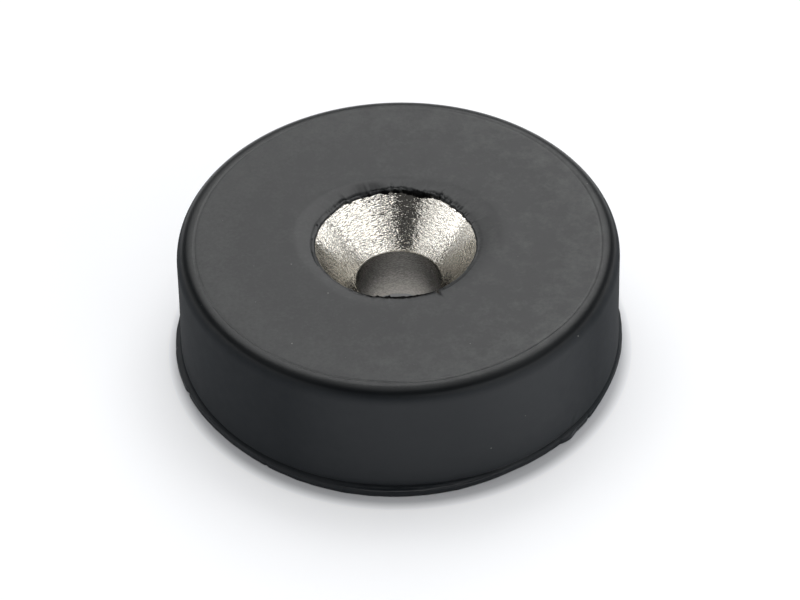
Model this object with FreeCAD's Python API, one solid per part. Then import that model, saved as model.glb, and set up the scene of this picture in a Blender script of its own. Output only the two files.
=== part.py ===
import FreeCAD, Part
import math
import os

# A round pot magnet in a moulded rubber jacket, held by one countersunk screw.
# Millimetres, +Z up. The origin is the middle of the underside, on the screw's axis.
# The open side of the steel pot, and so the holding face, looks up.

# Screw seat, for an M4 countersunk screw
screw_bore_diameter = 4.2
countersink_diameter = 8.0
countersink_angle = 82.0

# Ring magnet
magnet_diameter = 16.0
magnet_height = 5.1
magnet_edge_chamfer = 0.3

# Steel pot
pot_wall = 1.3
pot_floor = 0.8
pot_foot_chamfer = 0.6
pot_rim_chamfer = 0.25

# Cast epoxy between the magnet and the pot's wall
epoxy_width = 0.7

# Rubber jacket
side_skin = 1.0
top_skin = 0.4
base_skin = 0.4
top_edge_radius = 0.8

# Mould mark round the top face, just inside the rounded edge
crease_width = 0.22
crease_depth = 0.03

# Mouth of the jacket over the countersink, with the skin sunk a little round it
mouth_ledge = 0.05
dish_width = 0.8
dish_depth = 0.1

# Trimmed flash at the base, and the fine groove that sets it off from the wall
flash_height = 0.42
flash_edge_height = 0.33
flash_root_depth = 0.12
groove_height = 0.16
groove_depth = 0.08

# Width of the flash at its widest, and its share of that by azimuth in degrees from +X.
# It was cut by hand: wide on the left, almost flush at the right front, torn at -40.
flash_width = 0.3
flash_outline = [
    (-180, 1.00),
    (-165, 0.93),
    (-150, 0.60),
    (-135, 0.47),
    (-115, 0.73),
    (-90, 0.83),
    (-75, 0.53),
    (-62, 0.17),
    (-50, 0.10),
    (-43, 0.33),
    (-35, 0.30),
    (-28, 0.10),
    (-15, 0.30),
    (0, 0.67),
    (30, 0.67),
    (75, 0.47),
    (115, 0.60),
    (150, 0.87),
]

# Radii and heights that follow from the sizes above
bore_radius = screw_bore_diameter / 2
countersink_radius = countersink_diameter / 2
magnet_radius = magnet_diameter / 2
pot_inner_radius = magnet_radius + epoxy_width
pot_radius = pot_inner_radius + pot_wall
jacket_radius = pot_radius + side_skin
mouth_radius = countersink_radius + mouth_ledge

pot_base_z = base_skin
magnet_base_z = pot_base_z + pot_floor
magnet_top_z = magnet_base_z + magnet_height
jacket_top_z = magnet_top_z + top_skin
countersink_depth = (countersink_radius - bore_radius) / math.tan(math.radians(countersink_angle / 2))


def at(radius, height):
    return FreeCAD.Vector(radius, 0, height)


def run(*corners):
    """Straight edges from each corner of an outline to the next."""
    return [Part.makeLine(start, end) for start, end in zip(corners, corners[1:])]


def revolved(edges):
    """Full turn of a closed outline, drawn in the XZ plane, about the Z axis."""
    face = Part.Face(Part.Wire(edges))
    return face.revolve(FreeCAD.Vector(0, 0, 0), FreeCAD.Vector(0, 0, 1), 360)


def plug(radius, base_z, top_z):
    return Part.makeCylinder(radius, top_z - base_z, FreeCAD.Vector(0, 0, base_z))


def screw_bore():
    return plug(bore_radius, 0, jacket_top_z)


def pot_outside():
    """The pot's outer form, closed over its mouth: a bevelled foot and a broken rim."""
    return revolved(run(
        at(0, pot_base_z),
        at(pot_radius - pot_foot_chamfer, pot_base_z),
        at(pot_radius, pot_base_z + pot_foot_chamfer),
        at(pot_radius, magnet_top_z - pot_rim_chamfer),
        at(pot_radius - pot_rim_chamfer, magnet_top_z),
        at(0, magnet_top_z),
        at(0, pot_base_z),
    ))


def pot_inside():
    return plug(pot_inner_radius, magnet_base_z, magnet_top_z)


def steel_pot():
    """A cup whose rim is level with the magnet's face, bored for the screw."""
    return pot_outside().cut(pot_inside()).cut(screw_bore())


def ring_magnet():
    """Sintered ring: broken outer edges, a plain bore and a countersink for the screw's head."""
    low_edge_z = magnet_base_z + magnet_edge_chamfer
    high_edge_z = magnet_top_z - magnet_edge_chamfer
    face_radius = magnet_radius - magnet_edge_chamfer
    return revolved(run(
        at(bore_radius, magnet_base_z),
        at(face_radius, magnet_base_z),
        at(magnet_radius, low_edge_z),
        at(magnet_radius, high_edge_z),
        at(face_radius, magnet_top_z),
        at(countersink_radius, magnet_top_z),
        at(bore_radius, magnet_top_z - countersink_depth),
        at(bore_radius, magnet_base_z),
    ))


def epoxy_ring(magnet):
    """Cast level with the rim, it fills the pot round the magnet and over its broken edges."""
    core = plug(magnet_radius - magnet_edge_chamfer, magnet_base_z, magnet_top_z)
    return pot_inside().cut(core).cut(magnet)


def jacket_outside():
    """The moulded form without its flash: groove, wall, rounded edge, crease and dished mouth."""
    edge_r = top_edge_radius
    arc_middle = edge_r * math.sin(math.radians(45))
    round_centre = at(jacket_radius - edge_r, jacket_top_z - edge_r)
    wall_top = at(jacket_radius, jacket_top_z - edge_r)
    edge_middle = round_centre + at(arc_middle, arc_middle)
    edge_top = at(jacket_radius - edge_r, jacket_top_z)
    wall = run(
        at(0, 0),
        at(jacket_radius, 0),
        at(jacket_radius, flash_height),
        at(jacket_radius - groove_depth, flash_height + groove_height / 2),
        at(jacket_radius, flash_height + groove_height),
        wall_top,
    )
    rounded_edge = Part.Arc(wall_top, edge_middle, edge_top).toShape()
    top = run(
        edge_top,
        edge_top - at(crease_width / 2, crease_depth),
        edge_top - at(crease_width, 0),
        at(mouth_radius + dish_width, jacket_top_z),
        at(mouth_radius, jacket_top_z - dish_depth),
        at(0, jacket_top_z - dish_depth),
        at(0, 0),
    )
    return revolved(wall + [rounded_edge] + top)


def flash_ring(height, width, inset=0.0):
    """Closed smooth curve round the jacket: the outline at that width, or a ring inside the wall."""
    points = []
    for azimuth, share in flash_outline:
        angle = math.radians(azimuth)
        radius = jacket_radius + share * width - inset
        points.append(FreeCAD.Vector(radius * math.cos(angle), radius * math.sin(angle), height))
    curve = Part.BSplineCurve()
    curve.interpolate(Points=points, PeriodicFlag=True)
    return Part.Wire(curve.toShape())


def flash():
    """The thin shelf that knife trimming left: an upright cut edge under a sloping top."""
    foot = flash_ring(0, flash_width)
    edge = flash_ring(flash_edge_height, flash_width)
    root = flash_ring(flash_height, 0, inset=flash_root_depth)
    cut_edge = Part.makeLoft([foot, edge], True, True)
    sloping_top = Part.makeLoft([edge, root], True, True)
    return cut_edge.fuse(sloping_top).removeSplitter()


def rubber_jacket():
    """One moulding round the whole pot, open only where the screw goes through."""
    mouth = plug(mouth_radius, magnet_top_z, jacket_top_z)
    body = jacket_outside().fuse(flash()).removeSplitter()
    return body.cut(pot_outside()).cut(mouth).cut(screw_bore())


def write(name, shape):
    print(name, "solids", len(shape.Solids), "valid", shape.isValid(), "mm3", round(shape.Volume, 2))
    shape.exportStep("parts/" + name + ".step")


def main():
    os.makedirs("parts", exist_ok=True)
    magnet = ring_magnet()
    write("rubber_jacket", rubber_jacket())
    write("steel_pot", steel_pot())
    write("ring_magnet", magnet)
    write("epoxy_ring", epoxy_ring(magnet))


main()
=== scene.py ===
import math

import bpy
import numpy as np
from mathutils import Matrix, Vector

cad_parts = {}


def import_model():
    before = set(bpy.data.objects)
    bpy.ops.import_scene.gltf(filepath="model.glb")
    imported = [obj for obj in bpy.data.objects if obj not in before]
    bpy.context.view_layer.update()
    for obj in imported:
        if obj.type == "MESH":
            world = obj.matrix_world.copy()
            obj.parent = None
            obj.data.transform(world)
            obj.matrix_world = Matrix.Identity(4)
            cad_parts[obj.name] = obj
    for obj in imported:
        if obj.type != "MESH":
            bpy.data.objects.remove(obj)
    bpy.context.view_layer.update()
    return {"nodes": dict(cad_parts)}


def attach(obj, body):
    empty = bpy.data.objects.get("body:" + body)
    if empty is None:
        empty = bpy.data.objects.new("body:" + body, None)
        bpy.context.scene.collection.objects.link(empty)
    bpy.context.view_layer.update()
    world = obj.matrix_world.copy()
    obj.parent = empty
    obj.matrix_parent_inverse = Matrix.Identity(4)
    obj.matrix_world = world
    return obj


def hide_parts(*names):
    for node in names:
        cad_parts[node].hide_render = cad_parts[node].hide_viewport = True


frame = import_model()

# Lengths are in metres, except in the materials and where a comment says millimetres.
# Azimuths are in degrees from +X towards +Y, and the camera looks from -Y.
MM = 0.001
TOUCH = 0.002 * MM
TAU = 2 * math.pi

# Camera, as fitted to the ellipses of the photograph
LENS_MM = 247.5
SENSOR_MM = 36.0
CAMERA_AZIMUTH = -90
CAMERA_ELEVATION = 42.9
CAMERA_DISTANCE = 279.2 * MM
CAMERA_TARGET = Vector((0.04 * MM, 2.92 * MM, 0))
CAMERA_ROLL = -1.166
CAMERA_CLIP_NEAR = 0.01
CAMERA_CLIP_FAR = 20

# Softboxes round the part, in rows: elevation, width and height over PANEL_UNIT, and then the
# azimuth and radiance of each. The large bright ones at the back light the top face.
PANEL_DISTANCE = 0.6
PANEL_UNIT = 0.1
PANEL_ROWS = (
    (13, 3.2, 2.2, ((24, 1.60), (158, 0.80), (-172, 0.60))),
    (19, 3.4, 2.2, ((-12, 2.40), (-176, 1.50))),
    (26, 3.4, 2.2, ((-46, 2.60), (-145, 1.30))),
    (33, 1.8, 1.2, ((-76, 2.20),)),
    (35, 3.3, 2.4, ((72, 2.70), (108, 1.60))),
    (58, 3.4, 2.5, ((4, 1.10), (60, 3.44), (120, 2.96), (178, 0.40))),
    (89, 3.4, 3.4, ((0, 1.50),)),
)

# Light of the room beside that of the softboxes. For the camera and reflections it is white
# round the horizon, and turns dim where the sine of the elevation is within HORIZON_FADE.
WORLD_LEVEL = 0.05
HORIZON_FADE = (0.06, 0.12)

# The floor, and the glow of painted light that it has beside the lamps' light: beyond the part's edge,
# starting farther out at the front, a little as a painted pool of light at the back of the hole, and up to
# full white where no lamp reaches. Its places are in millimetres.
FLOOR_HALF_WIDTH = 3.0
FLOOR_COLOUR = (0.64, 0.65, 0.672, 1)
FLOOR_LIFT = 0.385
FLOOR_LIFT_FROM = (11.1, 11.7)
FLOOR_LIFT_LEAN = 0.04
# Painted pool of light on the floor at the back of the hole, which the bore mirrors
HOLE_LIFT = 0.24
HOLE_LIFT_Y = (-0.9, 1.3)
HOLE_LIFT_RADIUS = (1.0, 2.1)
FAR_FLOOR_FROM = (200.0, 650.0)

# Points round each ring and rows of rings in the two detailed meshes
JACKET_COLUMNS = 880
MAGNET_COLUMNS = 900
WALL_ROWS = 24
FACE_ROWS = 18
BORE_ROWS = 30
CONE_ROWS = 62
SHARP_ANGLE = 50

# Foot of the jacket: its base, its flash and the slot between flash and wall
BASE_EDGE = 0.04 * MM
BASE_EDGE_ROWS = 3
BASE_MARGIN = 0.6 * MM
BASE_ROWS = 5
FLASH_LIP_RADIUS = 0.03 * MM
FLASH_CUT_INSET = 0.01 * MM
FLASH_TRIM = 0.012 * MM
FLASH_LEFT_OVER = 0.035 * MM
CUT_SHARES = np.linspace(0.06, 0.94, 6)
SLOPE_SHARES = (0.2, 0.4, 0.6, 0.8)
SLOPE_DROP = 0.06 * MM
GROOVE_DEPTH = 0.15 * MM
WALL_FOOT_ROUND = 0.008 * MM
WALL_FOOT_RISE = 0.04 * MM

# The slot's section, out from its bottom and up from the groove's height
SLOT_SECTION = ((0, -0.02 * MM), (0.02 * MM, 0.02 * MM), (GROOVE_DEPTH - 0.03 * MM, 0.04 * MM))

# The flash's trimmed stretch between two fades, the torn flap at its end and the scar over it:
# azimuths and half-widths in degrees. The flap also has its width in millimetres. The scar
# leans by so many degrees over its length, and fades in and out by shares of that.
TRIM_START = (-66, -57)
TRIM_END = (-45.0, -44.3)
FLAP_START = -44.5
FLAP = ((-42.0, 0.07, 3.5),)
FLAP_RAGGED = (-40.0, 7.0)
SCAR_RIDGE = (-41.4, 0.9)
SCAR_FURROW = (-42.9, 1.0)
SCAR_FURROW_SHARE = 0.8
SCAR_LEAN = 3.6
SCAR_FADE = (0.3, 1.25)
SCAR_LENGTH = 0.55 * MM
SCAR_HEIGHT = 0.05 * MM

# Wall, crease and top face of the jacket. The wall's rows crowd at its foot, and its waves die
# out at both ends. The top edge's arc has its first and last angle and its rows.
WALL_SPREAD = np.linspace(0.12, 1, WALL_ROWS) ** 1.3
WALL_CALM = np.sin(np.linspace(0, math.pi, WALL_ROWS)) ** 0.5
WALL_WAVE_DEPTH = 0.008 * MM
TOP_EDGE_ARC = (6, 86, 13)
CREASE_WIDTH = 0.22 * MM
CREASE_DEPTH = 0.035 * MM
RIM_STEP_RADIUS = 8.3 * MM
RIM_STEP_HALF_WIDTH = 0.5 * MM
RIM_STEP_HEIGHT = 0.008 * MM
FACE_DROP = 0.007 * MM
FACE_WAVE_DEPTH = 0.003 * MM
FACE_MARGIN = 0.1 * MM

# Share of the crease's width, going in, and share of its depth there
CREASE_SECTION = ((0.0, 0.0), (0.2, 0.05), (0.35, 0.8), (0.5, 1.0), (0.65, 0.7), (0.85, 0.35), (1.0, 0.25))

# Where the crease is worn: azimuth, share of its depth that is gone, and half-width in degrees
CREASE_WEAR = ((90, 0.9, 105), (-15, 0.5, 50))

# Mouth of the jacket and the magnet's countersink under it, each a little off the bore's axis.
# The lip's round takes at most a share of the height that the lip has.
DISH_WIDTH = 0.80 * MM
DISH_DEPTH = 0.10 * MM
DISH_SHARES = np.linspace(0.06, 0.80, 8)
DISH_POWER = 1.8
THIN_LIP_POWER = 1.2
DISH_ROUGH_POWER = 3
MOUTH_SPARE = 0.05 * MM
MOUTH_SHIFT_X = -0.12 * MM
MOUTH_SHIFT_Y = 0.03 * MM
MOUTH_LIP_RADIUS = 0.11 * MM
MOUTH_LIP_ANGLES = np.radians(np.linspace(72, 180, 8))
MOUTH_LIP_MOST = 0.8
MOUTH_WALL_SHARES = (0.35, 0.7, 1.0)
MOUTH_FOOT_GAP = 0.004 * MM
MOUTH_FOOT_OUTSET = 0.02 * MM
COUNTERSINK_OVERLAP = 0.015 * MM
COUNTERSINK_SPARE = 0.06 * MM
COUNTERSINK_SHIFT_X = -0.13 * MM
COUNTERSINK_SHIFT_Y = 0.07 * MM

# Cuts in the mouth's edge: azimuth, depth in millimetres and half-width in degrees
MOUTH_CUTS = (
    (-62.5, 0.36, 1.6), (-84.0, 0.06, 2.2), (-97.0, 0.05, 2.5), (58.0, 0.12, 1.5), (70.0, 0.06, 1.6),
    (87.0, 0.08, 1.8), (94.0, 0.09, 2.2), (112.0, 0.05, 1.8), (130.0, 0.09, 3.0), (22.0, 0.05, 1.4),
)
# Shreds that hang in over the countersink, as the cuts above
MOUTH_SHREDS = (
    (74.0, 0.20, 9.0), (67.0, 0.10, 3.0), (82.0, 0.08, 2.5), (99.0, 0.05, 4.0), (33.0, 0.05, 2.5),
    (88.0, 0.07, 20.0), (-88.0, 0.12, 24.0),
)
# Where the skin thins out to a lower lip, and where its dish is wider, likewise
THIN_LIPS = ((146.0, 0.18, 64.0), (112.0, 0.10, 18.0), (27.0, 0.20, 50.0), (90.0, 0.06, 30.0))
WIDE_DISH = ((155, 0.5, 60), (20, 0.5, 60))
# Nicks in the flash's cut edge, likewise
FLASH_NICKS = ((-161.0, 0.07, 1.2), (-177.0, 0.07, 0.8), (-127.0, 0.05, 0.8), (-33.0, 0.05, 1.0))

# How frayed the mouth's edge and its lip are, in all places and beside that near some azimuths
FRAY_LEAST = 0.35
FRAY_MORE = ((80, 0.65, 75), (-90, 0.5, 70), (-88, 1.2, 22))
LIP_WEAR_LEAST = 0.6
LIP_WEAR_MORE = ((80, 1.2, 80), (-88, 0.9, 40))

# Noise round the rings: its size in millimetres or as a share, its bumps, and its seed
MOUTH_FUZZ = ((0.015, 200, 11), (0.015, 420, 12))
MOUTH_TEARS = ((0.6, 70, 13), (0.6, 160, 14))
MOUTH_TEAR_DEPTH = 0.110
FLASH_CUTS = ((0.5, 150, 21), (0.5, 40, 22))
FLASH_TOP_WAVES = ((0.02, 60, 23),)
FLAP_RAGS = ((0.035, 260, 24),)
CUT_LINES = ((0.012, 110, 30),)
SLOPE_LINES = ((0.010, 130, 40),)
CREASE_WANDER = ((0.03, 22, 61),)
CREASE_UNEVEN = ((0.35, 30, 62),)
DISH_ROUGH = ((0.007, 240, 80),)
LIP_SHREDS = ((0.016, 300, 90),)
LIP_WALL_ROUGH = ((0.025, 280, 110),)

# Noise over whole surfaces: its share, its bumps up and round, and its seed
WALL_WAVES = ((1.0, 5, 26, 51),)
FACE_WAVES = ((1.0, 5, 20, 71),)
BORE_PITS = ((0.6, 26, 60, 201), (0.4, 14, 120, 202))
CONE_BUMPS = ((0.5, 30, 170, 211), (0.5, 20, 90, 212))

# Magnet: its pits and bumps, and the round at the bore's upper edge, with its section as shares
BORE_PIT_DEPTH = 0.006 * MM
BORE_TOP_MARGIN = 0.06 * MM
BORE_EDGE_ROUND = 0.05 * MM
BORE_EDGE_SECTION = ((0.2, -0.3), (0.7, 0.35))
CONE_SHARES = np.linspace(0.03, 0.985, CONE_ROWS)
CONE_BUMP_DEPTH = 0.005 * MM
CONE_TOP_EDGE = 0.02 * MM

# Colours of the materials, in pairs from one end of a pattern to the other
GLOSSY_RUBBER = ((0.0040, 0.0050, 0.0060), (0.0056, 0.0068, 0.0078))
DULL_RUBBER = ((0.0126, 0.0154, 0.0184), (0.0148, 0.0176, 0.0208))
HAZE_COLOUR = (0.038, 0.042, 0.040)
DUST_COLOUR = (0.13, 0.13, 0.125)
# Near black where the mouth is torn: torn rubber, and painted shade in the gap at the mouth's edge
TORN_AND_SHADE_COLOUR = (0.0015, 0.0016, 0.0017)
CONE_PLATING = ((0.68, 0.64, 0.57), (0.95, 0.92, 0.85))
# The bore's plating: darkened as painted shade, and lightened towards its foot as painted light
BORE_SHADED_TO_LIT_PLATING = ((0.34, 0.33, 0.31), (0.80, 0.76, 0.70))
ZINC = ((0.50, 0.51, 0.52), (0.66, 0.66, 0.65))
EPOXY = ((0.018, 0.018, 0.018), (0.035, 0.034, 0.032))

# Noise patterns of the materials: scale per millimetre, detail and roughness
MOTTLE = (0.35, 4.0, 0.55)
SMEAR = (1.6, 5.0, 0.6)
SKIN_GRAIN = (22.0, 2.0, 0.6)
HAZE_PATCHES = (0.9, 4.0, 0.65)
HAZE_SPECKLE = (6.5, 2.0, 0.7)
TORN_SHADE_EDGE = (4.0, 3.0, 0.65)
PLATE_GRAIN = (12.0, 1.0, 0.5)
PLATE_FINE = (24.0, 1.0, 0.5)
PLATE_CLOUD = (1.2, 3.0, 0.5)
TURNING = (3.0, 3.0, 0.6)
SPANGLE = (2.5, 2.0, 0.5)
EPOXY_TONE = (2.0, 3.0, 0.5)

# The middle of a noise's values, which fills most of its area
NOISE_MIDDLE = (0.3, 0.7)

# Shares of haze: from patches and speckle, and inside and over the pot's rim
HAZE_PATCH_SHARE = (-0.5, 0.5)
HAZE_SPECKLE_SHARE = (-0.16, 0.16)
HAZE_RIM_SHARE = (0.03, 0.20)
HAZE_SIDES_SHARE = (0.25, 0.9)

# Roughness, and what is added to it
FACE_ROUGHNESS = (0.28, 0.33)
EDGE_ROUGHNESS_MORE = 0.02
WALL_ROUGHNESS_MORE = (0.55, 0.10)
FLASH_ROUGHNESS_MORE = -0.3
MARK_ROUGHNESS_MORE = 0.4
CONE_ROUGHNESS = (0.06, 0.10)
BORE_ROUGHNESS_MORE = 0.10
ZINC_ROUGHNESS = (0.28, 0.42)
EPOXY_ROUGHNESS = 0.25
FLOOR_ROUGHNESS = 0.9

# Gloss of the rubber: its index, its specular level whole and where torn with painted shade, what the
# round top edge loses, and what the wall gets back of that
RUBBER_IOR = 1.4
RUBBER_SHINE = 0.5
TORN_AND_SHADE_SHINE = 0.08
ROUND_SHINE_LOSS = 0.24
WALL_SHINE_GAIN = 0.16

# Bump of the materials: distance in metres and strength
SKIN_BUMP = (0.004 * MM, 0.35)
SMEAR_BUMP = (0.02 * MM, 0.3)
PLATE_BUMP = 0.030 * MM
PLATE_STRENGTH = (0.45, 0.54)
PLATE_FINE_BUMP = (0.018 * MM, 0.45)
ZINC_BUMP = (0.01 * MM, 0.3)
EPOXY_BUMP = (0.02 * MM, 0.2)

# Places on the rubber, in millimetres: where a ramp starts and ends
HAZE_RIM = (7.8, 8.8)
HAZE_SIDES_X = (-6.0, 6.0)
HAZE_Z = (5.9, 6.2)
EDGE_DULLING = (10.1, 10.5)
ROUND_FOOT = (10.15, 10.6)
ROUND_TO_WALL = (10.74, 10.92)
WALL_SHINE_BACK = (10.86, 10.98)
FLASH_START = (11.02, 11.06)
# Where the mouth's torn rubber is darkened as painted shade of the gap at its edge
TORN_SHADE_RADIUS = (3.95, 3.87)
TORN_SHADE_HALF_X = (1.5, 2.4)
TORN_SHADE_Z = (6.0, 6.2)
TORN_SHADE_SHIFT_Y = -0.07
TORN_SHADE_RAGGED = 0.34

# Specks of dust, one to a cell: cells per millimetre, the share of cells without one, and their size
DUST_CELLS = 1.15
DUST_CHANCE = 0.66
DUST_SIZE = 0.055

# Where the wall's skin is smoothest, as a direction from the axis, and the reach of that in millimetres
SMOOTH_SIDE = (0.259, -0.966, 0)
SMOOTH_REACH = (7.6, 10.7)

# Plating: places in millimetres, the grain's values that colour the cone, the streaks of the bore,
# and how closely the grain is packed round the axis and up it
CONE_RADIUS = (2.11, 2.16)
# Heights of the bore's painted light: fullest at the first, gone at the second
BORE_PAINTED_LIGHT_Z = (1.3, 3.0)
CONE_GRAIN_TONE = (0.25, 0.5)
STREAK_GRAIN = (0.35, 0.65)
STREAK_SHARE = (-0.25, 0.25)
GRAIN_ROUND = 1.4
GRAIN_UP = 1.6

# Pattern of the turned steel, squeezed along the axis, and bubbles per millimetre of the epoxy
TURNING_SQUEEZE = (1.0, 1.0, 14.0)
BUBBLE_CELLS = 3.0


# Shapes round a ring

def smoothstep(low, high, value):
    share = np.clip((value - low) / (high - low), 0, 1)
    return share * share * (3 - 2 * share)


def azimuths(columns):
    return np.arange(columns) * TAU / columns


def near(azimuth, centre, half_width):
    """1 at a place on the ring, falling smoothly to 0 at half_width from it, in degrees."""
    apart = np.abs((np.degrees(azimuth) - centre + 180) % 360 - 180)
    return 1 - smoothstep(0, half_width, apart)


def amounts(azimuth, places):
    """Sum of what a list of places gives, each an azimuth, an amount and a half-width."""
    return sum(amount * near(azimuth, centre, half_width) for centre, amount, half_width in places)


def marks(azimuth, places):
    """Depth in metres of a list of small cuts, each an azimuth, a depth and a half-width."""
    return MM * amounts(azimuth, places)


def shifted(azimuth, shift_x, shift_y):
    """What a shift of its middle adds to the radius of a ring."""
    return shift_x * np.cos(azimuth) + shift_y * np.sin(azimuth)


def ring_noise(columns, cells, seed):
    """Smooth noise from -1 to 1 round a ring, with up to that many bumps."""
    values = np.random.default_rng(seed).uniform(-1, 1, cells)
    place = np.arange(columns) * cells / columns
    first = place.astype(int)
    share = smoothstep(0, 1, place - first)
    return values[first % cells] * (1 - share) + values[(first + 1) % cells] * share


def sheet_noise(rows, columns, cells_up, cells_round, seed):
    """Smooth noise from -1 to 1 over a ring of rows by columns, closed round the ring."""
    values = np.random.default_rng(seed).uniform(-1, 1, (cells_up + 2, cells_round))
    up = np.linspace(0, cells_up, rows)
    row = up.astype(int)
    row_share = smoothstep(0, 1, up - row)[:, None]
    place = np.arange(columns) * cells_round / columns
    first = place.astype(int)
    share = smoothstep(0, 1, place - first)[None, :]
    left, right = first % cells_round, (first + 1) % cells_round
    low = values[row][:, left] * (1 - share) + values[row][:, right] * share
    high = values[row + 1][:, left] * (1 - share) + values[row + 1][:, right] * share
    return low * (1 - row_share) + high * row_share


def layered(columns, layers, row=0):
    """Sum of noises round a ring; the number of a row makes each row differ."""
    return sum(size * ring_noise(columns, bumps, seed + row) for size, bumps, seed in layers)


def layered_sheet(rows, columns, layers):
    """Sum of noises over a surface."""
    return sum(share * sheet_noise(rows, columns, *bumps, seed) for share, *bumps, seed in layers)


class Rings:
    """Rows of rings, each with a radius and a height at every azimuth, that make one closed mesh."""

    def __init__(self, columns):
        self.columns = columns
        self.azimuth = azimuths(columns)
        self.radius = []
        self.height = []

    def noise(self, layers, row=0):
        """Noise in metres round a ring, from layers in millimetres."""
        return MM * layered(self.columns, layers, row)

    def add(self, radius, height):
        shape = self.azimuth.shape
        self.radius.append(np.broadcast_to(np.asarray(radius, float), shape))
        self.height.append(np.broadcast_to(np.asarray(height, float), shape))

    def line(self, start, end, count):
        """Rings spaced evenly from one place of the section to another."""
        for share in np.linspace(0, 1, count):
            self.add(start[0] + (end[0] - start[0]) * share, start[1] + (end[1] - start[1]) * share)

    def arc(self, centre, radius, start_angle, end_angle, count):
        """Rings along an arc of the section; 0 degrees points outward and 90 up."""
        for angle in np.radians(np.linspace(start_angle, end_angle, count)):
            self.add(centre[0] + radius * math.cos(angle), centre[1] + radius * math.sin(angle))

    def mesh_object(self, name):
        radius, height = np.array(self.radius), np.array(self.height)
        rows, columns = radius.shape
        x, y = radius * np.cos(self.azimuth), radius * np.sin(self.azimuth)
        points = np.stack([x, y, height], axis=-1).reshape(-1, 3)
        here = np.arange(rows * columns).reshape(rows, columns)
        beside = np.roll(here, -1, axis=1)
        faces = np.stack([here, beside, np.roll(beside, -1, axis=0), np.roll(here, -1, axis=0)], axis=-1)
        mesh = bpy.data.meshes.new(name)
        mesh.from_pydata(points.tolist(), [], faces.reshape(-1, 4).tolist())
        if section_area(radius[:, 0], height[:, 0]) > 0:
            mesh.flip_normals()
        mesh.shade_smooth()
        mesh.set_sharp_from_angle(angle=math.radians(SHARP_ANGLE))
        piece = bpy.data.objects.new(name, mesh)
        bpy.context.scene.collection.objects.link(piece)
        return piece


def section_area(radius, height):
    """Signed area of a closed section; positive when its rows run anticlockwise."""
    return 0.5 * float(np.sum(radius * np.roll(height, -1) - np.roll(radius, -1) * height))


# Sizes read from the frame

def cad_points(node_name):
    """Radius, height and azimuth of a CAD node's vertices."""
    points = np.array([vertex.co for vertex in frame["nodes"][node_name].data.vertices])
    return np.hypot(points[:, 0], points[:, 1]), points[:, 2], np.arctan2(points[:, 1], points[:, 0])


class Sizes:
    """The radii and heights that the scene's pieces share with the CAD nodes."""

    def __init__(self):
        self.read_magnet()
        self.read_pot()
        self.read_jacket()

    def read_magnet(self):
        radius, height, _ = cad_points("ring_magnet")
        self.magnet_base_z, self.magnet_top_z = height.min(), height.max()
        on_top = height > self.magnet_top_z - TOUCH
        self.magnet_radius = radius.max()
        self.magnet_face_radius = radius[on_top].max()
        self.countersink_radius = radius[on_top].min()
        self.bore_radius = radius.min()
        self.cone_foot_z = height[radius < self.bore_radius + TOUCH].max()

    def read_pot(self):
        radius, height, _ = cad_points("steel_pot")
        self.pot_radius = radius.max()
        self.pot_base_z = height.min()
        self.pot_foot_radius = radius[height < self.pot_base_z + TOUCH].max()
        self.pot_rim_radius = radius[height > self.magnet_top_z - TOUCH].max()
        on_wall = radius > self.pot_radius - TOUCH
        self.pot_wall_low_z = height[on_wall].min()
        self.pot_wall_high_z = height[on_wall].max()

    def read_jacket(self):
        radius, height, azimuth = cad_points("rubber_jacket")
        self.top_z = height.max()
        self.mouth_radius = radius[height > self.magnet_top_z + TOUCH].min()
        self.wall_radius = radius[height > self.top_z / 2].max()
        on_wall = np.abs(radius - self.wall_radius) < TOUCH
        self.wall_high_z = height[on_wall].max()
        self.flash_edge_z = height[radius > self.wall_radius + TOUCH].max()
        between = (radius > self.pot_radius + TOUCH) & (radius < self.wall_radius - TOUCH)
        in_groove = between & (height < self.top_z / 2)
        self.groove_z = height[in_groove][radius[in_groove].argmin()]
        self.wall_low_z = height[on_wall & (height > self.groove_z)].min()
        flash_foot = (height < TOUCH) & (radius > self.wall_radius)
        self.flash_azimuth, self.flash_radius = azimuth[flash_foot], radius[flash_foot]

    def edge_radius(self):
        """Radius of the rounded top edge."""
        return self.top_z - self.wall_high_z

    def flash_at(self, azimuth):
        """Outer radius of the flash at each azimuth."""
        order = np.argsort(self.flash_azimuth)
        return np.interp(azimuth, self.flash_azimuth[order], self.flash_radius[order], period=TAU)


# Node helpers

def new_material(name):
    material = bpy.data.materials.new(name)
    material.use_nodes = True
    tree = material.node_tree
    return material, tree, tree.nodes["Principled BSDF"]


def node(tree, kind, inputs=None, **settings):
    made = tree.nodes.new(kind)
    for key, value in settings.items():
        setattr(made, key, value)
    for key, value in (inputs or {}).items():
        socket = made.inputs[key]
        if isinstance(value, bpy.types.NodeSocket):
            tree.links.new(value, socket)
        else:
            socket.default_value = value
    return made


def math_node(tree, operation, first, second=0.0):
    return node(tree, "ShaderNodeMath", {0: first, 1: second}, operation=operation).outputs[0]


def add(tree, first, second):
    return math_node(tree, "ADD", first, second)


def times(tree, first, second):
    return math_node(tree, "MULTIPLY", first, second)


def vector_math(tree, operation, inputs):
    return node(tree, "ShaderNodeVectorMath", inputs, operation=operation)


def noise(tree, vector, pattern):
    scale, detail, roughness = pattern
    inputs = {"Vector": vector, "Scale": scale, "Detail": detail, "Roughness": roughness}
    return node(tree, "ShaderNodeTexNoise", inputs).outputs["Fac"]


def voronoi(tree, vector, scale):
    """Voronoi cells, as a node with their Distance and Color."""
    return node(tree, "ShaderNodeTexVoronoi", {"Vector": vector, "Scale": scale}, feature="F1")


def remap(tree, value, span, to):
    """The value, from the start and end of its span to those of another, and level beyond them."""
    inputs = {"Value": value, "From Min": span[0], "From Max": span[1], "To Min": to[0], "To Max": to[1]}
    return node(tree, "ShaderNodeMapRange", inputs).outputs["Result"]


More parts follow.
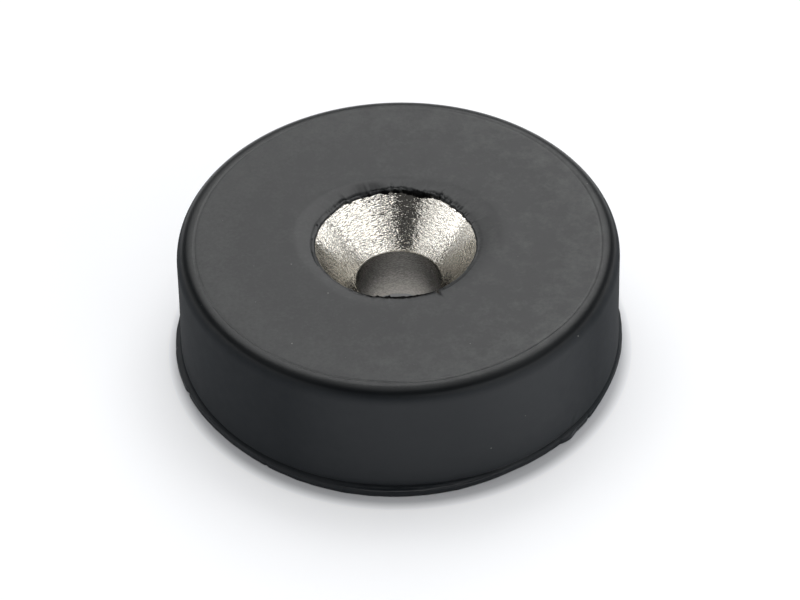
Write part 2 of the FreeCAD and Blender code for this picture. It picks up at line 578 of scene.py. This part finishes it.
def blend_colours(tree, share, first, second):
    mixed = node(tree, "ShaderNodeMix", data_type="RGBA")
    tree.links.new(share, mixed.inputs["Factor"])
    for key, value in (("A", first), ("B", second)):
        socket = [s for s in mixed.inputs if s.name == key and s.type == "RGBA"][0]
        if isinstance(value, bpy.types.NodeSocket):
            tree.links.new(value, socket)
        else:
            socket.default_value = (*value, 1.0)
    return [s for s in mixed.outputs if s.type == "RGBA"][0]


def bump(tree, height, distance, strength, normal=None):
    inputs = {"Height": height, "Distance": distance, "Strength": strength}
    if normal is not None:
        inputs["Normal"] = normal
    return node(tree, "ShaderNodeBump", inputs).outputs["Normal"]


def millimetres(tree):
    """Object coordinates scaled so that one unit is a millimetre."""
    metres = node(tree, "ShaderNodeTexCoord").outputs["Object"]
    return vector_math(tree, "SCALE", {0: metres, "Scale": 1 / MM}).outputs[0]


def length(tree, vector):
    return vector_math(tree, "LENGTH", {0: vector}).outputs["Value"]


def flattened(tree, vector):
    """The vector without its height."""
    parts = node(tree, "ShaderNodeSeparateXYZ", {0: vector}).outputs
    return node(tree, "ShaderNodeCombineXYZ", {0: parts["X"], 1: parts["Y"]}).outputs[0]


class Place:
    """Sockets for a point of the surface, in millimetres; its radius is its distance from the axis."""

    def __init__(self, tree):
        self.point = millimetres(tree)
        parts = node(tree, "ShaderNodeSeparateXYZ", {0: self.point}).outputs
        self.x, self.z = parts["X"], parts["Z"]
        self.flat = flattened(tree, self.point)
        self.radius = length(tree, self.flat)


# Materials

def rubber():
    """Moulded black rubber: satin, hazed on its top face, with dust, and a torn mouth with painted shade
    at its edge.
    """
    material, tree, shader = new_material("moulded_rubber")
    place = Place(tree)
    smear = noise(tree, place.point, SMEAR)
    on_wall = remap(tree, place.radius, ROUND_TO_WALL, (0.0, 1.0))
    is_dust = dust(tree, place)
    is_torn_and_shaded = torn_and_shaded_rubber(tree, place)

    colour = rubber_body(tree, place, on_wall)
    colour = blend_colours(tree, top_haze(tree, place), colour, HAZE_COLOUR)
    colour = blend_colours(tree, is_dust, colour, DUST_COLOUR)
    colour = blend_colours(tree, is_torn_and_shaded, colour, TORN_AND_SHADE_COLOUR)
    tree.links.new(colour, shader.inputs["Base Color"])

    rough = rubber_roughness(tree, place, smear, on_wall)
    for mark in (is_dust, is_torn_and_shaded):
        rough = add(tree, rough, times(tree, mark, MARK_ROUGHNESS_MORE))
    tree.links.new(rough, shader.inputs["Roughness"])
    tree.links.new(rubber_shine(tree, place, is_torn_and_shaded), shader.inputs["Specular IOR Level"])
    shader.inputs["IOR"].default_value = RUBBER_IOR

    skin = bump(tree, noise(tree, place.point, SKIN_GRAIN), *SKIN_BUMP)
    tree.links.new(bump(tree, smear, *SMEAR_BUMP, skin), shader.inputs["Normal"])
    return material


def rubber_body(tree, place, on_wall):
    """Mottled black, blacker on the top face and its round edge than on the wall."""
    tone = remap(tree, noise(tree, place.point, MOTTLE), NOISE_MIDDLE, (0.0, 1.0))
    glossy = blend_colours(tree, tone, *GLOSSY_RUBBER)
    dull = blend_colours(tree, tone, *DULL_RUBBER)
    return blend_colours(tree, on_wall, glossy, dull)


def top_haze(tree, place):
    """Share of haze on the top face: more over the pot's rim, patchy towards +X."""
    patches = remap(tree, noise(tree, place.point, HAZE_PATCHES), NOISE_MIDDLE, HAZE_PATCH_SHARE)
    patchy = times(tree, patches, remap(tree, place.x, HAZE_SIDES_X, HAZE_SIDES_SHARE))
    speckle = remap(tree, noise(tree, place.point, HAZE_SPECKLE), NOISE_MIDDLE, HAZE_SPECKLE_SHARE)
    over_rim = remap(tree, place.radius, HAZE_RIM, HAZE_RIM_SHARE)
    haze = add(tree, add(tree, patchy, speckle), over_rim)
    inside_round = remap(tree, place.radius, ROUND_FOOT, (1.0, 0.0))
    high_up = remap(tree, place.z, HAZE_Z, (0.0, 1.0))
    return times(tree, haze, times(tree, inside_round, high_up))


def dust(tree, place):
    """1 on a few pale specks."""
    speck = voronoi(tree, place.point, DUST_CELLS)
    chance = node(tree, "ShaderNodeSeparateColor", {0: speck.outputs["Color"]}).outputs[0]
    size = remap(tree, chance, (DUST_CHANCE, 1.0), (0.0, DUST_SIZE))
    return math_node(tree, "LESS_THAN", speck.outputs["Distance"], size)


def torn_and_shaded_rubber(tree, place):
    """1 on the torn rubber at the mouth's back and front, which is also painted shade of the gap at its
    edge, with a ragged limit.
    """
    middle = (MOUTH_SHIFT_X / MM, MOUTH_SHIFT_Y / MM + TORN_SHADE_SHIFT_Y, 0)
    from_mouth = vector_math(tree, "SUBTRACT", {0: place.point, 1: middle}).outputs[0]
    apart = length(tree, flattened(tree, from_mouth))
    ragged = times(tree, noise(tree, place.point, TORN_SHADE_EDGE), TORN_SHADE_RAGGED)
    near_mouth = remap(tree, math_node(tree, "SUBTRACT", apart, ragged), TORN_SHADE_RADIUS, (0.0, 1.0))
    in_line = remap(tree, math_node(tree, "ABSOLUTE", place.x), TORN_SHADE_HALF_X, (1.0, 0.0))
    high_up = remap(tree, place.z, TORN_SHADE_Z, (0.0, 1.0))
    return times(tree, times(tree, near_mouth, in_line), high_up)


def rubber_roughness(tree, place, smear, on_wall):
    """Satin on top, and duller down the wall, but for its smooth side and the cut flash."""
    face = remap(tree, smear, NOISE_MIDDLE, FACE_ROUGHNESS)
    top = add(tree, face, remap(tree, place.radius, EDGE_DULLING, (0.0, EDGE_ROUGHNESS_MORE)))
    towards = vector_math(tree, "DOT_PRODUCT", {0: place.point, 1: SMOOTH_SIDE}).outputs["Value"]
    wall = remap(tree, towards, SMOOTH_REACH, WALL_ROUGHNESS_MORE)
    side = add(tree, wall, remap(tree, place.radius, FLASH_START, (0.0, FLASH_ROUGHNESS_MORE)))
    return add(tree, top, times(tree, on_wall, side))


def rubber_shine(tree, place, is_torn_and_shaded):
    """Specular level: less on the round top edge, a little less on the wall, least where torn, for the
    painted shade there.
    """
    shine = remap(tree, is_torn_and_shaded, (0.0, 1.0), (RUBBER_SHINE, TORN_AND_SHADE_SHINE))
    lost = remap(tree, place.radius, ROUND_FOOT, (0.0, ROUND_SHINE_LOSS))
    given_back = remap(tree, place.radius, WALL_SHINE_BACK, (0.0, -WALL_SHINE_GAIN))
    return math_node(tree, "SUBTRACT", shine, add(tree, lost, given_back))


def ringwise(tree, place):
    """Coordinates that stretch a grain along the circumference."""
    facing = vector_math(tree, "NORMALIZE", {0: place.flat}).outputs[0]
    ring = vector_math(tree, "SCALE", {0: facing, "Scale": GRAIN_ROUND}).outputs[0]
    rise = node(tree, "ShaderNodeCombineXYZ", {2: times(tree, place.z, GRAIN_UP)}).outputs[0]
    return vector_math(tree, "ADD", {0: ring, 1: rise}).outputs[0]


def nickel():
    """Nickel plating over a sintered, ground surface: bright, warm and grained; darker in the bore as
    painted shade, with painted light towards its foot.
    """
    material, tree, shader = new_material("nickel_plating")
    place = Place(tree)
    along = ringwise(tree, place)
    grain = noise(tree, along, PLATE_GRAIN)
    fine = noise(tree, along, PLATE_FINE)
    in_cone = remap(tree, place.radius, CONE_RADIUS, (0.0, 1.0))

    cone_colour = blend_colours(tree, remap(tree, grain, CONE_GRAIN_TONE, (0.0, 1.0)), *CONE_PLATING)
    streaks = remap(tree, grain, STREAK_GRAIN, STREAK_SHARE)
    bore_light_and_streaks = add(tree, remap(tree, place.z, BORE_PAINTED_LIGHT_Z, (1.0, 0.0)), streaks)
    bore_shaded_colour = blend_colours(tree, bore_light_and_streaks, *BORE_SHADED_TO_LIT_PLATING)
    colour = blend_colours(tree, in_cone, bore_shaded_colour, cone_colour)
    tree.links.new(colour, shader.inputs["Base Color"])

    cloud = noise(tree, place.point, PLATE_CLOUD)
    cone_rough = remap(tree, cloud, NOISE_MIDDLE, CONE_ROUGHNESS)
    rough = add(tree, cone_rough, remap(tree, in_cone, (0.0, 1.0), (BORE_ROUGHNESS_MORE, 0.0)))
    tree.links.new(rough, shader.inputs["Roughness"])
    coarse = bump(tree, grain, PLATE_BUMP, remap(tree, in_cone, (0.0, 1.0), PLATE_STRENGTH))
    tree.links.new(bump(tree, fine, *PLATE_FINE_BUMP, coarse), shader.inputs["Normal"])
    shader.inputs["Metallic"].default_value = 1.0
    return material


def zinc_steel():
    """Zinc-plated turned steel, as shows inside the hole from below."""
    material, tree, shader = new_material("zinc_plated_steel")
    point = millimetres(tree)
    squeezed = node(tree, "ShaderNodeMapping", {0: point, "Scale": TURNING_SQUEEZE}).outputs[0]
    lines = noise(tree, squeezed, TURNING)
    colour = blend_colours(tree, noise(tree, point, SPANGLE), *ZINC)
    tree.links.new(colour, shader.inputs["Base Color"])
    tree.links.new(remap(tree, lines, NOISE_MIDDLE, ZINC_ROUGHNESS), shader.inputs["Roughness"])
    tree.links.new(bump(tree, lines, *ZINC_BUMP), shader.inputs["Normal"])
    shader.inputs["Metallic"].default_value = 1.0
    return material


def epoxy():
    """Cast black epoxy, glossy, with fine bubbles."""
    material, tree, shader = new_material("cast_epoxy")
    point = millimetres(tree)
    colour = blend_colours(tree, noise(tree, point, EPOXY_TONE), *EPOXY)
    tree.links.new(colour, shader.inputs["Base Color"])
    bubbles = voronoi(tree, point, BUBBLE_CELLS).outputs["Distance"]
    tree.links.new(bump(tree, bubbles, *EPOXY_BUMP), shader.inputs["Normal"])
    shader.inputs["Roughness"].default_value = EPOXY_ROUGHNESS
    return material


# Edges of the pieces

def mouth_edge(sizes, azimuth):
    """Radius of the torn mouth, a little off the magnet's axis: frayed most at the back and front."""
    tears = np.maximum(layered(len(azimuth), MOUTH_TEARS), 0) ** 2
    fray = layered(len(azimuth), MOUTH_FUZZ) + MOUTH_TEAR_DEPTH * tears
    frayed = fray * (FRAY_LEAST + amounts(azimuth, FRAY_MORE)) * MM
    cut = marks(azimuth, MOUTH_CUTS) - marks(azimuth, MOUTH_SHREDS)
    off_axis = shifted(azimuth, MOUTH_SHIFT_X, MOUTH_SHIFT_Y)
    return sizes.mouth_radius - MOUTH_SPARE + off_axis - frayed + cut


def dish_edge(sizes, azimuth):
    """Radius where the skin starts to sink towards the mouth: wider at its left and right."""
    return sizes.mouth_radius + DISH_WIDTH + marks(azimuth, WIDE_DISH)


def countersink_edge(sizes, azimuth):
    """Radius of the countersink at the magnet's face: it was ground a little off the bore's axis."""
    off_axis = shifted(azimuth, COUNTERSINK_SHIFT_X, COUNTERSINK_SHIFT_Y)
    return sizes.countersink_radius + COUNTERSINK_SPARE + off_axis


def flash_edge(sizes, azimuth):
    """Radius of the flash: almost gone on the right front, up to the torn flap."""
    columns = len(azimuth)
    degrees = (np.degrees(azimuth) + 180) % 360 - 180
    trimmed = smoothstep(*TRIM_START, degrees) * (1 - smoothstep(*TRIM_END, degrees))
    flash = sizes.flash_at(azimuth)
    flash += (sizes.wall_radius + FLASH_LEFT_OVER - flash) * trimmed
    flap = marks(azimuth, FLAP) * (degrees > FLAP_START)
    rags = MM * layered(columns, FLAP_RAGS) * near(azimuth, *FLAP_RAGGED)
    trim = FLASH_TRIM * (1 + layered(columns, FLASH_CUTS))
    return flash + flap + rags - trim - marks(azimuth, FLASH_NICKS)


def wall_scar(azimuth, height, sizes):
    """The raised scar that runs up the wall from the torn flap, with a furrow beside it."""
    rise = (height - sizes.wall_low_z) / SCAR_LENGTH
    fade = float(np.clip(rise + SCAR_FADE[0], 0, 1) * np.clip(SCAR_FADE[1] - rise, 0, 1))
    lean = np.radians(SCAR_LEAN * rise)
    ridge = near(azimuth - lean, *SCAR_RIDGE)
    furrow = SCAR_FURROW_SHARE * near(azimuth - lean, *SCAR_FURROW)
    return SCAR_HEIGHT * (ridge - furrow) * fade


# Rows of the jacket's closed section, from the hole in its base out and over to its pocket

def base_rows(rings, sizes):
    hole = sizes.bore_radius
    rings.line((hole, sizes.pot_base_z), (hole, BASE_EDGE), BASE_EDGE_ROWS)
    rings.line((hole + BASE_EDGE, 0), (sizes.wall_radius - BASE_MARGIN, 0), BASE_ROWS)


def flash_rows(rings, sizes):
    """Trimmed flash: a knife-cut edge under a sloping top."""
    flash = flash_edge(sizes, rings.azimuth)
    lip = flash - FLASH_LIP_RADIUS
    edge_z = sizes.flash_edge_z + rings.noise(FLASH_TOP_WAVES)
    rings.add(lip, 0)
    for row, share in enumerate(CUT_SHARES):
        rings.add(flash - FLASH_CUT_INSET + rings.noise(CUT_LINES, row), share * edge_z)
    rings.add(lip, edge_z)

    slot = sizes.wall_radius - GROOVE_DEPTH
    slope_end = sizes.groove_z - SLOPE_DROP
    for row, share in enumerate(SLOPE_SHARES):
        height = edge_z + (slope_end - edge_z) * share + rings.noise(SLOPE_LINES, row)
        rings.add(lip + (slot - lip) * share, height)


def slot_rows(rings, sizes):
    """The slot between flash and wall, and the wall's lower edge."""
    wall = sizes.wall_radius
    for out, up in SLOT_SECTION:
        rings.add(wall - GROOVE_DEPTH + out, sizes.groove_z + up)
    rings.add(wall - WALL_FOOT_ROUND, sizes.wall_low_z)
    rings.add(wall, sizes.wall_low_z + WALL_FOOT_RISE)


def wall_rows(rings, sizes):
    """The wall, faintly wavy as moulded rubber is."""
    heights = sizes.wall_low_z + (sizes.wall_high_z - sizes.wall_low_z) * WALL_SPREAD
    waves = layered_sheet(WALL_ROWS, rings.columns, WALL_WAVES)
    for height, wave, share in zip(heights, waves, WALL_CALM):
        sunk = WALL_WAVE_DEPTH * (1 - wave * share) * share
        rings.add(sizes.wall_radius - sunk + wall_scar(rings.azimuth, height, sizes), height)


def edge_rows(rings, sizes):
    """Rounded top edge, with the mould's crease at its foot: uneven, and worn at the back."""
    foot = sizes.wall_radius - sizes.edge_radius()
    rings.arc((foot, sizes.wall_high_z), sizes.edge_radius(), *TOP_EDGE_ARC)
    crease = foot + rings.noise(CREASE_WANDER)
    deepest = CREASE_DEPTH * (1 + layered(rings.columns, CREASE_UNEVEN))
    for place in CREASE_WEAR:
        deepest = deepest * (1 - amounts(rings.azimuth, (place,)))
    for share, depth in CREASE_SECTION:
        rings.add(crease - CREASE_WIDTH * share, sizes.top_z - deepest * depth)


def face_rows(rings, sizes):
    """Top face, with soft undulations, raised a little over the pot's rim."""
    outer = sizes.wall_radius - sizes.edge_radius() - CREASE_WIDTH - FACE_MARGIN
    inner = dish_edge(sizes, rings.azimuth) + FACE_MARGIN
    waves = layered_sheet(FACE_ROWS, rings.columns, FACE_WAVES)
    for radius, wave in zip(np.linspace(outer, inner, FACE_ROWS), waves):
        raised = smoothstep(-RIM_STEP_HALF_WIDTH, RIM_STEP_HALF_WIDTH, radius - RIM_STEP_RADIUS)
        step = RIM_STEP_HEIGHT * (1 - raised)
        rings.add(radius, sizes.top_z - FACE_DROP + FACE_WAVE_DEPTH * wave - step)


def dish_rows(rings, sizes):
    """The dish that the skin sinks in round the mouth."""
    outer = dish_edge(sizes, rings.azimuth)
    mouth = mouth_edge(sizes, rings.azimuth)
    thinned = marks(rings.azimuth, THIN_LIPS)
    face_drop = FACE_DROP + RIM_STEP_HEIGHT
    for row, share in enumerate(DISH_SHARES):
        sag = share ** DISH_POWER * (DISH_DEPTH - face_drop) + share ** THIN_LIP_POWER * thinned
        rough = rings.noise(DISH_ROUGH, row) * share ** DISH_ROUGH_POWER
        rings.add(outer + (mouth - outer) * share, sizes.top_z - face_drop - sag + rough)


def lip_rows(rings, sizes):
    """The torn lip over the countersink, and its inner wall down to the magnet."""
    azimuth = rings.azimuth
    mouth = mouth_edge(sizes, azimuth)
    lip_top = sizes.top_z - DISH_DEPTH - marks(azimuth, THIN_LIPS)
    foot_z = sizes.magnet_top_z + MOUTH_FOOT_GAP
    lip_radius = np.minimum(MOUTH_LIP_RADIUS, MOUTH_LIP_MOST * (lip_top - foot_z))
    wear = LIP_WEAR_LEAST + amounts(azimuth, LIP_WEAR_MORE)
    for row, angle in enumerate(MOUTH_LIP_ANGLES):
        shred = rings.noise(LIP_SHREDS, row) * wear
        radius = mouth + lip_radius * (1 + math.cos(angle)) + shred
        rings.add(radius, lip_top - lip_radius * (1 - math.sin(angle)) + shred)

    lip_z = lip_top - lip_radius
    over_rim = countersink_edge(sizes, azimuth) + COUNTERSINK_OVERLAP
    foot = np.minimum(mouth + MOUTH_FOOT_OUTSET, over_rim)
    for row, share in enumerate(MOUTH_WALL_SHARES):
        rough = rings.noise(LIP_WALL_ROUGH, row) * (1 - share)
        rings.add(mouth + (foot - mouth) * share + rough, lip_z + (foot_z - lip_z) * share)


def pocket_rows(rings, sizes):
    """The inside of the jacket, against the pot."""
    rings.add(sizes.pot_rim_radius, sizes.magnet_top_z)
    rings.add(sizes.pot_radius, sizes.pot_wall_high_z)
    rings.add(sizes.pot_radius, sizes.pot_wall_low_z)
    rings.add(sizes.pot_foot_radius, sizes.pot_base_z)


def jacket_rings(sizes):
    rings = Rings(JACKET_COLUMNS)
    for rows in (base_rows, flash_rows, slot_rows, wall_rows, edge_rows):
        rows(rings, sizes)
    for rows in (face_rows, dish_rows, lip_rows, pocket_rows):
        rows(rings, sizes)
    return rings


# Rows of the magnet's closed section, from the bore up, out and down

def bore_rows(rings, sizes):
    """The bore, lightly pitted, and its rounded edge under the countersink."""
    bore, top_z = sizes.bore_radius, sizes.cone_foot_z
    heights = np.linspace(sizes.magnet_base_z, top_z - BORE_TOP_MARGIN, BORE_ROWS)
    pits = layered_sheet(BORE_ROWS, rings.columns, BORE_PITS)
    for height, pit in zip(heights, pits):
        rings.add(bore + BORE_PIT_DEPTH * (1 + pit), height)
    for out, up in BORE_EDGE_SECTION:
        rings.add(bore + out * BORE_EDGE_ROUND, top_z + up * BORE_EDGE_ROUND)


def cone_rows(rings, sizes):
    """The countersink, with its grain sunk square to the cone."""
    bore, rise = sizes.bore_radius, sizes.magnet_top_z - sizes.cone_foot_z
    slope = math.atan2(rise, sizes.countersink_radius - bore)
    outer = countersink_edge(sizes, rings.azimuth)
    grain = layered_sheet(CONE_ROWS, rings.columns, CONE_BUMPS)
    for share, bumps in zip(CONE_SHARES, grain):
        lift = CONE_BUMP_DEPTH * (bumps - 1)
        radius = bore + (outer - bore) * share
        height = sizes.cone_foot_z + rise * share
        rings.add(radius - math.sin(slope) * lift, height + math.cos(slope) * lift)
    rings.add(outer + CONE_TOP_EDGE, sizes.magnet_top_z)


def outside_rows(rings, sizes):
    """The magnet's face, its broken outer edges and its underside."""
    edge = sizes.magnet_radius - sizes.magnet_face_radius
    rings.add(sizes.magnet_face_radius, sizes.magnet_top_z)
    rings.add(sizes.magnet_radius, sizes.magnet_top_z - edge)
    rings.add(sizes.magnet_radius, sizes.magnet_base_z + edge)
    rings.add(sizes.magnet_face_radius, sizes.magnet_base_z)


def magnet_rings(sizes):
    rings = Rings(MAGNET_COLUMNS)
    for rows in (bore_rows, cone_rows, outside_rows):
        rows(rings, sizes)
    return rings


# Finishes on the pieces

def dress(piece, node_name, material):
    piece.data.materials.append(material)
    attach(piece, "root")
    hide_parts(node_name)


def dress_node(node_name, material):
    """A CAD node that keeps its own mesh gets its finish."""
    mesh = frame["nodes"][node_name].data
    mesh.materials.clear()
    mesh.materials.append(material)


# Stage

def seen_directly(tree):
    """1 for what the camera, a reflection or glass shows, and 0 for the other light on the part."""
    path = node(tree, "ShaderNodeLightPath")
    sharp = math_node(tree, "MAXIMUM", path.outputs["Is Glossy Ray"], path.outputs["Is Transmission Ray"])
    return math_node(tree, "MAXIMUM", path.outputs["Is Camera Ray"], sharp)


def floor_painted_glow(tree):
    """The floor's glow of painted light by place: none under the part's edge, so that its shadow stays,
    starting farther out at the front, and a painted pool of light at the back of its hole.
    """
    point = millimetres(tree)
    away = length(tree, point)
    back = node(tree, "ShaderNodeSeparateXYZ", {0: point}).outputs["Y"]
    leant = add(tree, away, times(tree, back, FLOOR_LIFT_LEAN))
    outside = remap(tree, leant, FLOOR_LIFT_FROM, (0.0, FLOOR_LIFT))
    at_back = remap(tree, back, HOLE_LIFT_Y, (0.0, HOLE_LIFT))
    in_hole = times(tree, at_back, remap(tree, away, HOLE_LIFT_RADIUS, (1.0, 0.0)))
    far_off = remap(tree, away, FAR_FLOOR_FROM, (0.0, 1 - FLOOR_LIFT))
    return add(tree, add(tree, outside, in_hole), far_off)


def floor():
    """Pale floor that takes the part's shadow and goes to plain white beyond it, with a painted pool of
    light at the back of its hole.
    """
    mesh = bpy.data.meshes.new("studio_floor")
    half = FLOOR_HALF_WIDTH
    corners = [(-half, -half, 0), (half, -half, 0), (half, half, 0), (-half, half, 0)]
    mesh.from_pydata(corners, [], [(0, 1, 2, 3)])
    piece = bpy.data.objects.new("studio_floor", mesh)
    bpy.context.scene.collection.objects.link(piece)
    material, tree, shader = new_material("white_sweep")
    shader.inputs["Base Color"].default_value = FLOOR_COLOUR
    shader.inputs["Roughness"].default_value = FLOOR_ROUGHNESS
    shader.inputs["Specular IOR Level"].default_value = 0.0
    shader.inputs["Emission Color"].default_value = (1, 1, 1, 1)
    tree.links.new(times(tree, floor_painted_glow(tree), seen_directly(tree)), shader.inputs["Emission Strength"])
    mesh.materials.append(material)


def direction(azimuth, elevation):
    a, e = math.radians(azimuth), math.radians(elevation)
    return Vector((math.cos(a) * math.cos(e), math.sin(a) * math.cos(e), math.sin(e)))


def softbox(name, towards, width, height, radiance):
    """A lamp panel that faces the part; its power is pi times its radiance and its area."""
    data = bpy.data.lights.new(name, "AREA")
    data.shape = "RECTANGLE"
    data.size, data.size_y = width, height
    data.energy = math.pi * radiance * width * height
    lamp = bpy.data.objects.new(name, data)
    lamp.location = towards * PANEL_DISTANCE
    lamp.rotation_mode = "QUATERNION"
    lamp.rotation_quaternion = towards.to_track_quat("Z", "Y")
    lamp.visible_camera = False
    bpy.context.scene.collection.objects.link(lamp)


def softboxes():
    for row, (elevation, width, height, panels) in enumerate(PANEL_ROWS):
        for azimuth, radiance in panels:
            name = f"panel_{row}_{azimuth % 360}"
            towards = direction(azimuth, elevation)
            softbox(name, towards, width * PANEL_UNIT, height * PANEL_UNIT, radiance)


def world():
    """Dim studio room, with a white backdrop round the horizon for the camera and reflections."""
    made = bpy.data.worlds.new("studio")
    bpy.context.scene.world = made
    made.use_nodes = True
    tree = made.node_tree
    tree.nodes.clear()
    towards = node(tree, "ShaderNodeTexCoord").outputs["Generated"]
    rise = node(tree, "ShaderNodeSeparateXYZ", {0: towards}).outputs["Z"]
    low = remap(tree, rise, HORIZON_FADE, (1.0, 0.0))
    shown = times(tree, low, seen_directly(tree))
    room = node(tree, "ShaderNodeBackground", {"Color": (1, 1, 1, 1), "Strength": WORLD_LEVEL})
    white = node(tree, "ShaderNodeBackground", {"Color": (1, 1, 1, 1), "Strength": 1.0})
    mixed = node(tree, "ShaderNodeMixShader", {0: shown, 1: room.outputs[0], 2: white.outputs[0]})
    node(tree, "ShaderNodeOutputWorld", {0: mixed.outputs[0]})


def camera():
    data = bpy.data.cameras.new("camera")
    data.lens, data.sensor_width = LENS_MM, SENSOR_MM
    data.clip_start, data.clip_end = CAMERA_CLIP_NEAR, CAMERA_CLIP_FAR
    viewer = bpy.data.objects.new("camera", data)
    back = direction(CAMERA_AZIMUTH, CAMERA_ELEVATION)
    roll = Matrix.Rotation(math.radians(CAMERA_ROLL), 4, "Z")
    turn = back.to_track_quat("Z", "Y").to_matrix().to_4x4() @ roll
    viewer.matrix_world = Matrix.Translation(CAMERA_TARGET + back * CAMERA_DISTANCE) @ turn
    bpy.context.scene.collection.objects.link(viewer)
    bpy.context.scene.camera = viewer


def main():
    sizes = Sizes()
    camera()
    floor()
    world()
    softboxes()
    dress(jacket_rings(sizes).mesh_object("jacket_moulding"), "rubber_jacket", rubber())
    dress(magnet_rings(sizes).mesh_object("magnet_ring"), "ring_magnet", nickel())
    dress_node("steel_pot", zinc_steel())
    dress_node("epoxy_ring", epoxy())
    bpy.context.scene.view_settings.view_transform = "Standard"


main()
